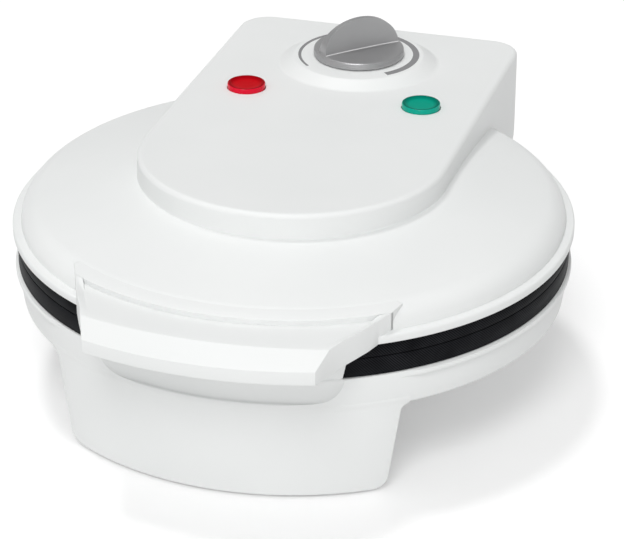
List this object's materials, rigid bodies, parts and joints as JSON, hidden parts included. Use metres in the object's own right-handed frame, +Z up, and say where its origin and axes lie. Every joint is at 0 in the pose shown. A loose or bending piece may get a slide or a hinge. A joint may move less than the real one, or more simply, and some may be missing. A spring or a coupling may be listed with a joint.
{
  "type": "electric krumkake iron",
  "caption": "Electric iron for krumkake wafers: round patterned plates in a white base and hinged lid, with front handle, dial and pilot lights.",
  "frame": {"origin": "centre of the footprint, on the surface that the four rubber feet stand on", "axes": "+Z up, +Y towards the hinge at the rear, -Y towards the handle, +X to the right as seen from the handle"},
  "size_m": [0.22, 0.2686, 0.1114],
  "materials": {
    "white_plastic": "satin gloss, moulded",
    "dark_cast_plate": "cast, with a dark release coating",
    "bright_steel": "plain bright steel",
    "satin_silver": "satin silver paint on plastic",
    "element_steel": "heat-darkened sheath",
    "red_lens": "clear red",
    "green_lens": "clear green",
    "grey_rubber": "matt",
    "ceramic": "unglazed ceramic",
    "thermostat_case": "moulded resin",
    "lamp_glass": "clear",
    "fuse_sleeve": "woven sleeve"
  },
  "bodies": {
    "base": {"base_housing": "white_plastic", "lower_plate": "dark_cast_plate", "lower_element": "element_steel", "lower_reflector": "bright_steel", "rear_leg_cover": "white_plastic", "cord_grommet": "grey_rubber", "terminal_block": "ceramic", "cover_screw_1": "bright_steel", "cover_screw_2": "bright_steel", "foot_front_left": "grey_rubber", "foot_front_right": "grey_rubber", "foot_rear_left": "grey_rubber", "foot_rear_right": "grey_rubber", "hinge_pin_left": "bright_steel", "hinge_pin_right": "bright_steel", "lower_plate_screw_1": "bright_steel", "lower_plate_screw_2": "bright_steel", "lower_plate_screw_3": "bright_steel", "lower_plate_screw_4": "bright_steel", "lower_spacer_1": "ceramic", "lower_spacer_2": "ceramic", "lower_spacer_3": "ceramic", "lower_spacer_4": "ceramic"},
    "lid": {"lid_housing": "white_plastic", "upper_plate": "dark_cast_plate", "upper_element": "element_steel", "upper_reflector": "bright_steel", "red_lens": "red_lens", "green_lens": "green_lens", "red_lamp": "lamp_glass", "green_lamp": "lamp_glass", "thermostat_bracket": "bright_steel", "thermostat_body": "thermostat_case", "bracket_screw_left": "bright_steel", "bracket_screw_right": "bright_steel", "thermal_fuse": "fuse_sleeve", "upper_plate_screw_1": "bright_steel", "upper_plate_screw_2": "bright_steel", "upper_plate_screw_3": "bright_steel", "upper_plate_screw_4": "bright_steel", "upper_spacer_1": "ceramic", "upper_spacer_2": "ceramic", "upper_spacer_3": "ceramic", "upper_spacer_4": "ceramic"},
    "dial": {"thermostat_spindle": "bright_steel", "knob": "satin_silver"}
  },
  "joints": [
    {"name": "lid_hinge", "type": "hinge", "parent": "base", "child": "lid", "pos_m": [0, 0.11275, 0.0582], "axis": [-1, 0, 0], "range_deg": [0, 95]},
    {"name": "dial_turn", "type": "hinge", "parent": "lid", "child": "dial", "pos_m": [0, 0.09125, 0.095], "axis": [0, 0, -1], "range_deg": [0, 265]}
  ]
}
